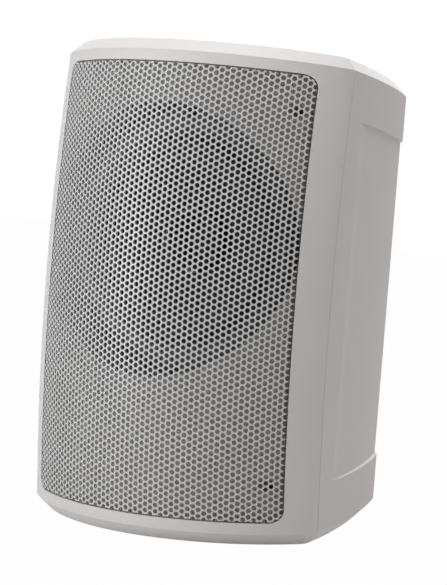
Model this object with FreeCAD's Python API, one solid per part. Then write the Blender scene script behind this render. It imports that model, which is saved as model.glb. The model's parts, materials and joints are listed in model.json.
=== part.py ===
import FreeCAD, Part
import math
import os

V = FreeCAD.Vector

# Surface-mount speaker, in millimetres. The front faces -Y, +X is to the viewer's right and +Z is up.
# Depths (d) count backwards from the frontmost point of the grille.

# Cabinet form
height = 274.0             # between the level pads under and on top of the cabinet
width = 181.0              # across the two front side edges
depth = 176.0              # front of the grille to the rear face
rear_width = 135.0         # across the rear face, before its corners are rounded
front_radius = 112.0       # curve of the front, seen from above
bow_radius = 1000.0        # curve of the front, seen from the side
side_radius = 450.0        # curve of the side walls, seen from above
draft = 4.0                # slope of the top and bottom towards the rear, in degrees
edge_chamfer = 6.6         # bevel round the top and bottom
crease_radius = 15.0       # at the front's side edges, larger than their bevel at top and bottom
rear_corner_radius = 5.0   # rounding of the upright rear corners
wall = 3.5                 # moulded wall thickness
fit = 0.1                  # clearance between pieces that seat in each other
slot_width = 0.8           # driver slot of the screws
screw_pilot = 0.1          # room round a screw's shank
screw_run_out = 2.0        # hole beyond a screw's tip

# Joint between front moulding and rear cabinet
rim_length = 3.5           # front moulding's skirt behind the side edge
joint_gasket = 0.6         # thickness of the gasket in the joint
joint_groove = 0.3         # how far the gasket stays back from the outer surface

# Grille and the window it sits in
window_width = 156.0       # chord of the window in the bezel
window_frame = 12.9        # bezel between window and top or bottom
window_corner = 7.0        # corner radius of the window
grille_gap = 0.9           # dark line round the grille
grille_sheet = 1.2         # sheet thickness
grille_rim = 6.0           # depth of the folded rim
perforation_pitch = 19.0   # distance between neighbouring perforations
perforation_share = 0.7    # width of a perforation over the pitch
perforation_margin = 8.0   # plain border inside the folded rim

# Side recesses of the cabinet
recess_start = 82.0        # depth at which the floor of a recess begins
recess_fade = 10.0         # length of the slope in front of that floor
recess_shallow = 1.1       # its depth there
recess_deep = 1.8          # its depth at the rear edge
recess_border = 31.5       # plain band above and below it
recess_ramp = 3.6          # length of the slope at its upper and lower end

# Level pads and mounting inserts
pad_width = 96.0
top_pad_width = 70.0
top_pad_length = 58.0
pad_margin = 5.0           # from the joint between the mouldings
pad_rear_margin = 22.0     # from the rear face
pad_corner = 10.0
insert_radius = 4.5        # outside of a brass insert
insert_bore = 2.5          # minor radius of its thread
insert_length = 12.0
insert_sink = 0.3          # how far an insert stays below the face around it
insert_boss = 8.0          # radius of the boss round an insert
bracket_spacing_x = 70.0
bracket_spacing_z = 35.0
bracket_height = 176.0     # centre of the four rear inserts
yoke_spacing = 40.0        # between the two inserts of a pad

# Driver, on an axis along Y
driver_height = 164.0
driver_depth = 40.0        # front face of the flange
flange_radius = 74.5
flange_thick = 4.0
flange_gasket = 1.2
basket_opening = 67.5      # hole in the baffle
basket_back = 83.0         # depth of the basket's rear ring
basket_neck = 47.5         # outer radius of the basket there
basket_skin = 3.0
basket_play = 1.5          # room round the basket in the baffle's hole
basket_windows = 6
basket_window_width = 24.0
basket_window_margin = 6.0 # from flange and spider ledge to a window
basket_bore = 26.6         # hole in the basket's rear ring
spider_ledge = 4.0         # width of the ledge under the spider's edge
flange_room = 0.5          # room round the flange in its well
seat_thick = 4.0
driver_screw_circle = 70.9
driver_screws_count = 6
driver_screw_radius = 1.7
driver_screw_length = 17.0
driver_head = 3.2          # radius of the screw's head
driver_head_height = 2.2
driver_boss = 4.2          # radius of the baffle's boss for a driver screw
tag_board = 2.0            # thickness of the terminal tag board
tag_board_width = 18.0
tag_board_height = 10.0
tag_spacing = 10.0
tag_width = 3.0
tag_thick = 0.8
tag_length = 4.0
tag_clear = 2.0            # from the driver screw bosses
cone_edge = 47.0
cone_neck = 19.3
cone_neck_depth = 62.0
cone_skin = 0.9
cone_collar = 4.0          # length glued to the former
surround_roll = 5.0        # radius of the half roll
surround_land = 3.4        # width of its glued lands
surround_skin = 0.8
surround_overhang = 0.5    # cone edge to the start of the roll
coil_radius = 18.6         # inside of the voice coil former
coil_skin = 0.6
coil_winding = 0.5
coil_length = 7.0          # of the winding
coil_end = 90.0
spider_depth = 70.0
spider_edge = 47.0
spider_land = 4.0
spider_ripples = 4
spider_wave = 1.6          # height of its corrugations
spider_skin = 0.8
plate_radius = 43.0
plate_thick = 5.0
magnet_radius = 45.0
magnet_thick = 15.0
magnet_bore = 26.0
magnet_chamfer = 1.0
gap_clearance = 0.7        # radial room on each side of the coil
pole_bore = 5.0
tweeter_radius = 13.5
tweeter_front = 66.0       # depth of the tweeter motor's rim
tweeter_rim = 1.2          # width of that rim
tweeter_gap = 8.0          # depth of the ring gap
dome_radius = 9.6
dome_rise = 3.2
dome_lift = 0.2            # dome's foot to the motor's rim
dome_skin = 0.4
dome_room = 0.5            # room round the dome's coil
dome_coil = 5.0            # length of the coil tube behind the dome
horn_mouth = 17.3
horn_depth = 52.0
horn_skin = 1.0
horn_throat = 6.0          # length of the narrow part

# Baffle screws, through the front moulding into the cabinet
baffle_screw_x = 67.0
baffle_screw_border = 18.6   # screw centre inside the window's edge
baffle_boss = 6.5
baffle_bore = 3.8            # radius of the shaft to the screw's head
baffle_split = 55.0          # depth at which the two bosses meet
baffle_seat = 46.0           # depth of the screw head's seat
baffle_screw_radius = 1.8
baffle_screw_length = 26.0
baffle_head = 3.3            # radius of the screw's head
baffle_head_height = 2.4

# Terminal recess in the rear face, with its panel
pocket_width = 98.0
pocket_height = 62.0
pocket_depth = 22.0
pocket_centre = 68.0
pocket_corner = 6.0
panel_border = 3.0           # pocket wall to panel edge
panel_thick = 3.0
panel_gasket_thick = 1.0
panel_lap = 6.5              # panel edge to the cut-out behind it
panel_screw_inset = 4.0
panel_screw_radius = 1.4
panel_screw_length = 11.0
panel_head = 2.8             # radius of the screw's head
panel_head_height = 2.0
selector_x = -22.0
selector_shaft_radius = 3.0
selector_knob_radius = 9.0
selector_knob_length = 11.0
knob_flutes = 8
knob_flute = 1.6             # radius of a flute
knob_skirt = 2.0             # height of the skirt below the flutes
knob_taper = 2.0             # the top is this much smaller in radius
knob_ridge = 3.0             # width of the pointer ridge
knob_roof = 1.5              # material over the shaft's end
selector_body = 22.0
selector_body_length = 12.0
selector_body_corner = 4.0
selector_bearing = 3.0       # closed end of the switch body
selector_lift = 0.6          # knob to panel
selector_play = 0.4          # room round the shaft in the panel
header_x = 18.0
header_width = 34.0
header_height = 15.0
header_length = 8.0
header_wall = 1.6
plug_length = 13.0
plug_ways = 4
plug_clear = 0.3
wire_mouth = 1.6             # radius of a wire's way into the plug
wire_mouth_deep = 6.0
clamp_screw = 1.6            # radius of a clamp screw
clamp_back = 3.2             # clamp screw axis to the plug's rear face

# Crossover board behind the panel
board_gap = 17.4             # panel's inner face to the board
board_width = 76.0
board_height = 40.0
board_thick = 1.6
standoff_radius = 3.0
standoff_inset = 4.0
board_screw_radius = 1.3
board_screw_length = 9.0
board_head = 2.6             # radius of the screw's head
board_head_height = 1.8
core_width = 36.0
core_height = 32.0
core_thick = 24.0
core_leg = 10.0
core_x = 9.0
coil_room = 0.4
inductor_radius = 7.0
inductor_bore = 3.0
inductor_length = 12.0
inductor_x = -28.0
inductor_rise = 8.2
capacitor_radius = 5.0
capacitor_length = 20.0
capacitor_x = -15.5
capacitor_rise = 10.5
capacitor_chamfer = 0.8

# Damping pad on the inside of the rear wall
damping_width = 104.0
damping_low = 112.0
damping_high = 236.0
damping_thick = 12.0
damping_room = 0.5           # cut-outs round the insert bosses

slope = math.tan(math.radians(draft))
mid_height = height / 2
reach = 20.0                 # how far cutting bodies extend past the cabinet
crease_depth = front_radius - math.sqrt(front_radius ** 2 - (width / 2) ** 2)
parting_depth = crease_depth + rim_length
bow_sag = bow_radius - math.sqrt(bow_radius ** 2 - mid_height ** 2)
pad_start = parting_depth + joint_gasket + bow_sag + pad_margin
pad_length = depth - pad_rear_margin - pad_start


def along_y(d):
    """Turns a depth behind the grille's front into a Y coordinate."""
    return d - depth / 2


def side_circle():
    """Centre of the side wall's plan arc, from its two ends, as x and depth."""
    x0, d0 = width / 2, crease_depth
    x1, d1 = rear_width / 2, depth
    chord = math.hypot(x1 - x0, d1 - d0)
    lift = math.sqrt(side_radius ** 2 - (chord / 2) ** 2)
    centre_x = (x0 + x1) / 2 - (d1 - d0) / chord * lift
    centre_d = (d0 + d1) / 2 + (x1 - x0) / chord * lift
    return centre_x, centre_d


side_centre_x, side_centre_d = side_circle()


def side_x(d, inset=0.0):
    """Half width of the cabinet at a depth, inside its wall by inset."""
    return side_centre_x + math.sqrt((side_radius - inset) ** 2 - (d - side_centre_d) ** 2)


def cylinder(radius, start, end, x, z):
    """Cylinder along Y between two depths."""
    return Part.makeCylinder(radius, end - start, V(x, along_y(start), z), V(0, 1, 0))


def block(x0, x1, start, end, z0, z1):
    """Box between two depths."""
    return Part.makeBox(x1 - x0, end - start, z1 - z0, V(x0, along_y(start), z0))


def rounded_block(x0, x1, start, end, z0, z1, radius):
    """Box between two depths, with its edges along Y rounded."""
    box = block(x0, x1, start, end, z0, z1)
    edges = [e for e in box.Edges if e.BoundBox.YLength > (end - start) / 2]
    return box.makeFillet(radius, edges)


def turned(outline, x=0.0, z=driver_height):
    """Solid of revolution about an axis along Y, from a list of (radius, depth)."""
    points = [V(x + r, along_y(d), z) for r, d in outline]
    face = Part.Face(Part.makePolygon(points + points[:1]))
    return face.revolve(V(x, 0, z), V(0, 1, 0), 360)


def round_stretch(r, d, radius, start, end, facets=8):
    """Points of an arc in a (radius, depth) outline: 0 degrees points outwards and 90 to the front."""
    points = []
    for i in range(facets + 1):
        a = math.radians(start + (end - start) * i / facets)
        points.append((r + radius * math.cos(a), d - radius * math.sin(a)))
    return points


def join(solids):
    """Fuses a list of overlapping solids to one."""
    return solids[0].multiFuse(solids[1:]).removeSplitter()


def ring_of(count, radius, start_angle=0.0):
    """Places on a circle round the driver's axis, as (x, z)."""
    places = []
    for i in range(count):
        a = math.radians(start_angle + 360.0 * i / count)
        places.append((radius * math.cos(a), driver_height + radius * math.sin(a)))
    return places


def front_sheet(inset):
    """Doubly curved face set back from the front by inset: a plan arc carried along an upright arc."""
    radius = front_radius - inset
    bow = bow_radius - inset
    half = min(width / 2 + reach / 2, radius * math.sin(math.radians(80)))
    turn = math.asin(half / radius)
    rise = mid_height + reach

    def plan(angle):
        return V(radius * math.sin(angle), along_y(front_radius) - radius * math.cos(angle), mid_height)

    def upright(z):
        return V(0, bow - math.sqrt(bow ** 2 - z ** 2), z)

    across = Part.Arc(plan(-turn), plan(0), plan(turn)).toBSpline()
    up = Part.Arc(upright(-rise), upright(0), upright(rise)).toBSpline()
    poles = [[a + b for b in up.getPoles()] for a in across.getPoles()]
    weights = [[a * b for b in up.getWeights()] for a in across.getWeights()]
    sheet = Part.BSplineSurface()
    sheet.buildFromPolesMultsKnots(
        poles, across.getMultiplicities(), up.getMultiplicities(), across.getKnots(), up.getKnots(),
        False, False, across.Degree, up.Degree, weights)
    return sheet.toShape()


def behind_front(inset):
    """Everything behind the curved front, set back by inset."""
    return front_sheet(inset).extrude(V(0, 2 * depth, 0))


def plan_prism(inset):
    """Upright prism of the cabinet's plan, inside its walls by inset, open at the front."""
    ahead = -reach
    start = crease_depth - reach / 2
    end = depth - inset
    middle = (start + end) / 2

    def place(x, d):
        return V(x, along_y(d), -reach)

    x0, xm, x1 = [side_x(d, inset) for d in (start, middle, end)]
    outline = [
        Part.LineSegment(place(-x0, ahead), place(x0, ahead)),
        Part.LineSegment(place(x0, ahead), place(x0, start)),
        Part.Arc(place(x0, start), place(xm, middle), place(x1, end)),
        Part.LineSegment(place(x1, end), place(-x1, end)),
        Part.Arc(place(-x1, end), place(-xm, middle), place(-x0, start)),
        Part.LineSegment(place(-x0, start), place(-x0, ahead)),
    ]
    face = Part.Face(Part.Wire([edge.toShape() for edge in outline]))
    return face.extrude(V(0, 0, height + 2 * reach))


def wedge(inset, half=width):
    """Space between the sloping bottom and top, inside them by inset."""
    ends = (-reach, depth + reach)
    low = [(d, slope * d + inset) for d in ends]
    high = [(d, height - slope * d - inset) for d in reversed(ends)]
    points = [V(-half, along_y(d), z) for d, z in low + high]
    return Part.Face(Part.makePolygon(points + points[:1])).extrude(V(2 * half, 0, 0))


def ahead_of(d):
    """Space in front of an upright surface that bows like the front edge."""
    rise = mid_height + reach

    def place(z):
        return V(-width, along_y(d) + bow_radius - math.sqrt(bow_radius ** 2 - z ** 2), mid_height + z)

    low, high = place(-rise), place(rise)
    front = along_y(-reach)
    edges = [
        Part.Arc(low, place(0), high),
        Part.LineSegment(high, V(-width, front, high.z)),
        Part.LineSegment(V(-width, front, high.z), V(-width, front, low.z)),
        Part.LineSegment(V(-width, front, low.z), low),
    ]
    face = Part.Face(Part.Wire([edge.toShape() for edge in edges]))
    return face.extrude(V(2 * width, 0, 0))


def bevelled(form, size):
    """Bevels the top and bottom edges of a cabinet form."""
    ends = [e for e in form.Edges if e.BoundBox.ZMin > 0.8 * height or e.BoundBox.ZMax < 0.2 * height]
    return form.makeChamfer(size, ends)


def upright_edges(form, rear):
    """The long edges at the front or rear corners of a cabinet form."""
    long_edges = [e for e in form.Edges if e.BoundBox.ZLength > 0.6 * height]
    corners = [e for e in long_edges if abs(e.CenterOfMass.x) > rear_width / 3]
    return [e for e in corners if (e.CenterOfMass.y > 0) == rear]


def cabinet_body():
    """Outer form of the closed cabinet."""
    form = plan_prism(0).common(wedge(0)).common(behind_front(0)).Solids[0]
    form = form.makeFillet(crease_radius, upright_edges(form, False))
    form = bevelled(form, edge_chamfer)
    return form.makeFillet(rear_corner_radius, upright_edges(form, True))


def cabinet_cavity(front_inset):
    """Inner form of the cabinet: its walls are one wall thickness inside the outer form."""
    form = plan_prism(wall).common(wedge(wall)).common(behind_front(front_inset)).Solids[0]
    return bevelled(form, edge_chamfer - wall * (2 - math.sqrt(2)))


def window(margin):
    """Prism along Y of the grille's window, made smaller by margin."""
    half = window_width / 2 - margin
    slab = wedge(window_frame + margin, half)
    edges = [e for e in slab.Edges if e.BoundBox.YLength > depth]
    return slab.makeFillet(window_corner - margin, edges)


body = cabinet_body()
front_space = behind_front(0)
floor_space = behind_front(grille_rim)
back_inset = grille_rim + wall
seat_depth = driver_depth + flange_thick + flange_gasket
well_radius = flange_radius + flange_room
driver_boss_end = seat_depth + driver_screw_length - flange_thick
baffle_screw_z = [
    slope * baffle_split + window_frame + baffle_screw_border,
    height - slope * baffle_split - window_frame - baffle_screw_border,
]
baffle_screw_places = [(x, z) for x in (-baffle_screw_x, baffle_screw_x) for z in baffle_screw_z]
driver_screw_places = ring_of(driver_screws_count, driver_screw_circle, 30.0)


def front_baffle():
    """Bezel and baffle in one moulding: recessed window, driver well, screw bosses."""
    shell = body.common(ahead_of(parting_depth))
    shell = shell.cut(cabinet_cavity(back_inset))
    shell = shell.cut(cabinet_cavity(wall).cut(window(-wall)))
    well = cylinder(well_radius + wall, 0, seat_depth + seat_thick, 0, driver_height)
    bosses = [cylinder(baffle_boss, 0, baffle_split, x, z) for x, z in baffle_screw_places]
    screw_bosses = [cylinder(driver_boss, seat_depth, driver_boss_end, x, z) for x, z in driver_screw_places]
    added = [solid.common(floor_space) for solid in [well] + bosses]
    shell = join([shell] + added + screw_bosses)
    shell = shell.cut(window(0).cut(floor_space))
    cuts = [
        cylinder(well_radius, -reach, seat_depth, 0, driver_height),
        cylinder(basket_opening, -reach, baffle_split, 0, driver_height),
    ]
    for x, z in baffle_screw_places:
        cuts.append(cylinder(baffle_bore, -reach, baffle_seat, x, z))
        cuts.append(cylinder(baffle_screw_radius + screw_pilot, 0, baffle_split + 1, x, z))
    for x, z in driver_screw_places:
        cuts.append(cylinder(driver_screw_radius + screw_pilot, seat_depth - 1, driver_boss_end + 1, x, z))
    return shell.cut(Part.makeCompound(cuts)).removeSplitter()


def baffle_gasket():
    """Thin ring in the joint between front moulding and cabinet."""
    ring = body.common(ahead_of(parting_depth + joint_gasket)).cut(ahead_of(parting_depth))
    outer = plan_prism(joint_groove).common(wedge(joint_groove)).common(front_space)
    outer = bevelled(outer.Solids[0], edge_chamfer - joint_groove * (2 - math.sqrt(2)))
    return ring.common(outer).cut(cabinet_cavity(wall))


def side_recess(side):
    """Shallow wedge cut from a side wall, deepest at the rear, with sloping upper and lower ends."""
    start = recess_start
    edge = recess_start - recess_fade
    end = depth + 1
    middle = (start + end) / 2
    half_way = (recess_shallow + recess_deep) / 2

    def place(x, d):
        return V(side * x, along_y(d), -reach)

    floor = Part.Arc(
        place(side_x(start) - recess_shallow, start),
        place(side_x(middle) - half_way, middle),
        place(side_x(end) - recess_deep, end))
    outside = width / 2 + reach
    outline = [
        floor,
        Part.LineSegment(place(side_x(end) - recess_deep, end), place(outside, end)),
        Part.LineSegment(place(outside, end), place(outside, start)),
        Part.LineSegment(place(outside, start), place(side_x(start) - recess_shallow, start)),
    ]
    face = Part.Face(Part.Wire([edge.toShape() for edge in outline]))
    tool = face.extrude(V(0, 0, height + 2 * reach)).common(wedge(recess_border))
    ends = [e for e in tool.Edges if e.BoundBox.YLength > (end - start) / 2]
    ends = [e for e in ends if abs(e.CenterOfMass.x) < width / 2]
    tool = tool.makeChamfer(recess_deep, recess_ramp, ends)
    fade = [
        place(side_x(start) - recess_shallow, start), place(side_x(edge), edge),
        place(outside, edge), place(outside, start)]
    slope_tool = Part.Face(Part.makePolygon(fade + fade[:1])).extrude(V(0, 0, height + 2 * reach))
    return tool.fuse(slope_tool.common(wedge(recess_border + recess_ramp / 2)))


def level_pad(top):
    """Level pad on the sloping top or bottom, where a yoke would bear."""
    w, length = (top_pad_width, top_pad_length) if top else (pad_width, pad_length)
    corner = V(-w / 2, yoke_y - length / 2, mid_height if top else 0)
    box = Part.makeBox(w, length, mid_height, corner)
    edges = [e for e in box.Edges if e.BoundBox.ZLength > mid_height / 2]
    return box.makeFillet(pad_corner, edges).cut(wedge(wall / 2))


pocket_floor = depth - pocket_depth
pocket_low = pocket_centre - pocket_height / 2
pocket_high = pocket_centre + pocket_height / 2
panel_width = pocket_width - 2 * panel_border
panel_height = pocket_height - 2 * panel_border
cutout_width = panel_width - 2 * panel_lap
cutout_height = panel_height - 2 * panel_lap
panel_front = pocket_floor + panel_gasket_thick
panel_back = panel_front + panel_thick
panel_screw_places = [
    (sx * (panel_width / 2 - panel_screw_inset), pocket_centre + sz * (panel_height / 2 - panel_screw_inset))
    for sx in (-1, 1) for sz in (-1, 1)]
panel_screw_end = panel_back - panel_screw_length
bracket_places = [
    (sx * bracket_spacing_x / 2, bracket_height + sz * bracket_spacing_z / 2)
    for sx in (-1, 1) for sz in (-1, 1)]
yoke_y = along_y(pad_start + pad_length / 2)
yoke_places = [(-yoke_spacing / 2, yoke_y), (yoke_spacing / 2, yoke_y)]
insert_deep = insert_length + insert_sink


def centred_block(w, h, start, end, x=0.0, z=pocket_centre):
    """Box between two depths, centred at x and z."""
    return block(x - w / 2, x + w / 2, start, end, z - h / 2, z + h / 2)


def rear_cabinet():
    """Moulded rear shell: tapering walls, side recesses, terminal pocket, pads and bosses."""
    shell = body.cut(cabinet_cavity(wall)).cut(ahead_of(parting_depth + joint_gasket))
    added = [level_pad(False), level_pad(True)]
    added.append(centred_block(pocket_width + 2 * wall, pocket_height + 2 * wall, pocket_floor - wall, depth))
    for x, z in baffle_screw_places:
        added.append(cylinder(baffle_boss, baffle_split, depth, x, z).common(body))
    for x, z in bracket_places:
        added.append(cylinder(insert_boss, depth - insert_deep - wall, depth, x, z))
    for x, z in panel_screw_places:
        added.append(cylinder(insert_boss / 2, panel_screw_end - wall, pocket_floor, x, z))
    boss_height = insert_deep + wall
    for x, y in yoke_places:
        added.append(Part.makeCylinder(insert_boss, boss_height, V(x, y, 0)))
        added.append(Part.makeCylinder(insert_boss, boss_height, V(x, y, height - boss_height)))
    shell = join([shell] + added)
    cuts = [side_recess(-1), side_recess(1)]
    cuts.append(rounded_block(
        -pocket_width / 2, pocket_width / 2, pocket_floor, depth + 1, pocket_low, pocket_high, pocket_corner))
    cuts.append(centred_block(cutout_width, cutout_height, pocket_floor - wall - 1, pocket_floor + 1))
    for x, z in baffle_screw_places:
        end = baffle_seat + baffle_screw_length + screw_run_out
        cuts.append(cylinder(baffle_screw_radius + screw_pilot, baffle_split - 1, end, x, z))
    for x, z in bracket_places:
        cuts.append(cylinder(insert_radius + fit, depth - insert_deep, depth + 1, x, z))
    for x, z in panel_screw_places:
        cuts.append(cylinder(panel_screw_radius + screw_pilot, panel_screw_end - 1, pocket_floor + 1, x, z))
    hole = insert_radius + fit
    for x, y in yoke_places:
        cuts.append(Part.makeCylinder(hole, insert_deep + 1, V(x, y, -1)))
        cuts.append(Part.makeCylinder(hole, insert_deep + 1, V(x, y, height - insert_deep)))
    return shell.cut(Part.makeCompound(cuts)).removeSplitter()


def perforations():
    """Hexagonal holes along Y on a staggered grid with upright columns."""
    column_step = perforation_pitch * math.sqrt(3) / 2
    hole = perforation_pitch * perforation_share / 2
    half = window_width / 2 - grille_gap - grille_sheet - perforation_margin
    low = window_frame + grille_gap + grille_sheet + perforation_margin
    columns = int(math.asin(half / front_radius) * front_radius / column_step)
    rows = int((mid_height - low - hole) / (perforation_pitch / 2))
    holes = []
    for i in range(-columns, columns + 1):
        turn = i * column_step / front_radius
        for j in range(-rows, rows + 1):
            if (i + j) % 2:
                continue
            points = []
            for k in range(7):
                a = math.radians(60 * k)
                points.append(V(hole * math.cos(a), 0, hole * math.sin(a)))
            tool = Part.Face(Part.makePolygon(points)).extrude(V(0, 2 * reach, 0))
            tool.translate(V(0, along_y(-reach / 2), mid_height + j * perforation_pitch / 2))
            tool.rotate(V(0, along_y(front_radius), 0), V(0, 0, 1), math.degrees(turn))
            holes.append(tool)
    return holes


def grille():
    """Perforated sheet with the front's double curve and a rim folded back to the baffle."""
    outside = window(grille_gap)
    sheet = outside.common(front_space).cut(behind_front(grille_sheet))
    rim = outside.cut(window(grille_gap + grille_sheet)).common(front_space)
    rim = rim.cut(behind_front(grille_rim - fit))
    plate = join([sheet, rim])
    return plate.cut(Part.makeCompound(perforations()))


def screw(x, z, seat, radius, length, head_radius, head_height, forward=True):
    """Pan-head screw along Y whose head lies before (forward) or behind its seat."""
    sign = 1 if forward else -1
    top = seat - sign * head_height
    tip = seat + sign * length
    head = cylinder(head_radius, min(seat, top), max(seat, top), x, z)
    shank = cylinder(radius, min(seat, tip), max(seat, tip), x, z)
    slot = centred_block(1.2 * head_radius, slot_width, top - slot_width, top + slot_width, x, z)
    return head.fuse(shank).removeSplitter().cut(slot)


def driver_basket():
    """Pressed frame: flange, conical wall with windows, spider ledge and rear ring."""
    f0, f1 = driver_depth, driver_depth + flange_thick
    throat = basket_opening - basket_play
    rear = basket_back - basket_skin
    lip = surround_outer - surround_land
    frame = turned([
        (lip, f0), (flange_radius, f0), (flange_radius, f1), (throat, f1), (basket_neck, basket_back),
        (basket_bore, basket_back), (basket_bore, rear), (basket_neck - basket_skin, rear),
        (throat - basket_skin - 1, f1 + 1), (lip, f0 + flange_thick / 2)])
    shelf = spider_depth + spider_ledge / 2
    ledge = turned([
        (spider_edge - spider_ledge, spider_depth), (spider_edge + spider_ledge + 1, spider_depth),
        (spider_edge + spider_ledge, shelf), (spider_edge - spider_ledge, shelf)])
    frame = frame.fuse(ledge).removeSplitter()
    cuts = []
    opening = block(
        basket_neck - 2 * basket_skin, flange_radius, f1 + basket_window_margin,
        spider_depth - basket_window_margin, -basket_window_width / 2, basket_window_width / 2)
    for i in range(basket_windows):
        tool = opening.copy()
        tool.translate(V(0, 0, driver_height))
        tool.rotate(V(0, 0, driver_height), V(0, 1, 0), 360.0 * i / basket_windows)
        cuts.append(tool)
    for x, z in driver_screw_places:
        cuts.append(cylinder(driver_screw_radius + screw_pilot, f0 - 1, f1 + 1, x, z))
    return frame.cut(Part.makeCompound(cuts))


surround_inner = cone_edge + surround_overhang
surround_outer = surround_inner + 2 * surround_roll + surround_land


def driver_gasket():
    """Foam ring between flange and baffle."""
    start = driver_depth + flange_thick
    ring = turned([
        (basket_opening, start), (flange_radius, start),
        (flange_radius, seat_depth), (basket_opening, seat_depth)])
    holes = [cylinder(driver_screw_radius + screw_pilot, start - 1, seat_depth + 1, x, z)
             for x, z in driver_screw_places]
    return ring.cut(Part.makeCompound(holes))


def surround():
    """Half-roll rubber edge between cone and flange."""
    d0 = driver_depth
    d1 = driver_depth - surround_skin
    middle = surround_inner + surround_roll
    land_in = surround_inner - surround_land
    over = round_stretch(middle, d1, surround_roll, 180, 0)
    under = round_stretch(middle, d0, surround_roll - surround_skin, 0, 180)
    inside = [(land_in, d0), (land_in, d1)]
    outside = [(surround_outer, d1), (surround_outer, d0)]
    return turned(inside + over + outside + under)


def cone():
    """Cone with a glued edge at the front and a neck on the voice coil former."""
    d0 = driver_depth
    collar_end = former_start + cone_collar
    return turned([
        (cone_edge - surround_land, d0), (cone_edge, d0), (cone_edge, d0 + cone_skin),
        (cone_edge - surround_land, d0 + 1.5 * cone_skin), (cone_neck + cone_skin, cone_neck_depth),
        (cone_neck + cone_skin, collar_end), (cone_neck, collar_end), (cone_neck, former_start)])


former_start = cone_neck_depth - cone_skin
former_outer = coil_radius + coil_skin
winding_outer = former_outer + coil_winding
plate_front = basket_back
plate_back = plate_front + plate_thick
magnet_back = plate_back + magnet_thick
yoke_back = magnet_back + plate_thick


def voice_coil():
    """Former tube with the winding at its rear end."""
    winding_start = coil_end - coil_length
    return turned([
        (coil_radius, former_start), (former_outer, former_start), (former_outer, winding_start),
        (winding_outer, winding_start), (winding_outer, coil_end), (coil_radius, coil_end)])


def spider():
    """Corrugated suspension disc behind the cone."""
    inner = former_outer + fit
    step = (spider_edge - spider_land - inner) / (2 * spider_ripples)
    front = []
    for i in range(2 * spider_ripples + 1):
        front.append((inner + i * step, spider_depth - spider_skin - (spider_wave if i % 2 else 0)))
    front.append((spider_edge, spider_depth - spider_skin))
    back = [(r, d + spider_skin) for r, d in reversed(front)]
    return turned(front + back)


def top_plate():
    """Steel ring in front of the magnet."""
    bore = winding_outer + gap_clearance
    return turned([
        (bore, plate_front), (plate_radius, plate_front), (plate_radius, plate_back), (bore, plate_back)])


def magnet():
    """Ferrite ring."""
    r, c = magnet_radius, magnet_chamfer
    return turned([
        (magnet_bore, plate_back), (r - c, plate_back), (r, plate_back + c),
        (r, magnet_back - c), (r - c, magnet_back), (magnet_bore, magnet_back)])


def pole_yoke():
    """Rear plate with the pole that stands inside the voice coil."""
    pole = coil_radius - gap_clearance
    c = 2 * magnet_chamfer
    return turned([
        (pole_bore, plate_front), (pole, plate_front), (pole, magnet_back), (plate_radius, magnet_back),
        (plate_radius, yoke_back - c), (plate_radius - c, yoke_back), (pole_bore, yoke_back)])


def tweeter_motor():
    """Small magnet cup on the pole, with a ring gap for the dome's coil."""
    gap_in = dome_radius - dome_skin - dome_room
    gap_out = dome_radius + dome_room
    rim = tweeter_radius - tweeter_rim
    front = tweeter_front + tweeter_rim
    gap_end = front + tweeter_gap
    return turned([
        (0, front), (gap_in, front), (gap_in, gap_end), (gap_out, gap_end), (gap_out, front),
        (rim, front), (rim, tweeter_front), (tweeter_radius, tweeter_front),
        (tweeter_radius, plate_front), (0, plate_front)])


def tweeter_dome():
    """Thin dome with the coil tube behind it."""
    start = tweeter_front - dome_lift

    def dome(radius, rise):
        curve = (radius ** 2 + rise ** 2) / (2 * rise)
        half = math.degrees(math.asin(radius / curve))
        return round_stretch(0, start - rise + curve, curve, 90, 90 - half, 5)

    inner = dome_radius - dome_skin
    coil = [(dome_radius, start + dome_coil), (inner, start + dome_coil)]
    return turned(dome(dome_radius, dome_rise) + coil + dome(inner, dome_rise - dome_skin)[::-1])


def tweeter_waveguide():
    """Short horn round the dome."""
    bend = tweeter_front - horn_throat
    return turned([
        (dome_radius + dome_room, tweeter_front - dome_room), (tweeter_radius - tweeter_rim, tweeter_front),
        (tweeter_radius, tweeter_front), (tweeter_radius + 1.4 * horn_skin, bend), (horn_mouth, horn_depth),
        (horn_mouth - horn_skin, horn_depth), (tweeter_radius - 0.6 * horn_skin, bend - horn_skin / 2)])


def driver_terminals():
    """Tag board on the lowest leg of the basket, with two solder tags."""
    start = driver_boss_end + tag_clear
    lean = (basket_opening - basket_play - basket_neck) / (basket_back - driver_depth - flange_thick)
    radius = basket_opening - basket_play - lean * (start + tag_board - driver_depth - flange_thick)
    top = driver_height - radius + 1
    foot = top - tag_board_height
    solids = [block(-tag_board_width / 2, tag_board_width / 2, start, start + tag_board, foot, top)]
    tag_start = start + (tag_board - tag_thick) / 2
    for x in (-tag_spacing / 2, tag_spacing / 2):
        x0, x1 = x - tag_width / 2, x + tag_width / 2
        solids.append(block(x0, x1, tag_start, tag_start + tag_thick, foot - tag_length, foot + tag_length))
    return join(solids).cut(driver_basket())


def bracket_inserts():
    """Threaded inserts in the rear face."""
    end = depth - insert_sink
    start = end - insert_length
    return [cylinder(insert_radius, start, end, x, z).cut(cylinder(insert_bore, start - 1, end + 1, x, z))
            for x, z in bracket_places]


def yoke_inserts():
    """Threaded inserts in the bottom and top pads."""
    solids = []
    for low in (insert_sink, height - insert_sink - insert_length):
        for x, y in yoke_places:
            tube = Part.makeCylinder(insert_radius, insert_length, V(x, y, low))
            solids.append(tube.cut(Part.makeCylinder(insert_bore, insert_length + 2, V(x, y, low - 1))))
    return solids


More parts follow.
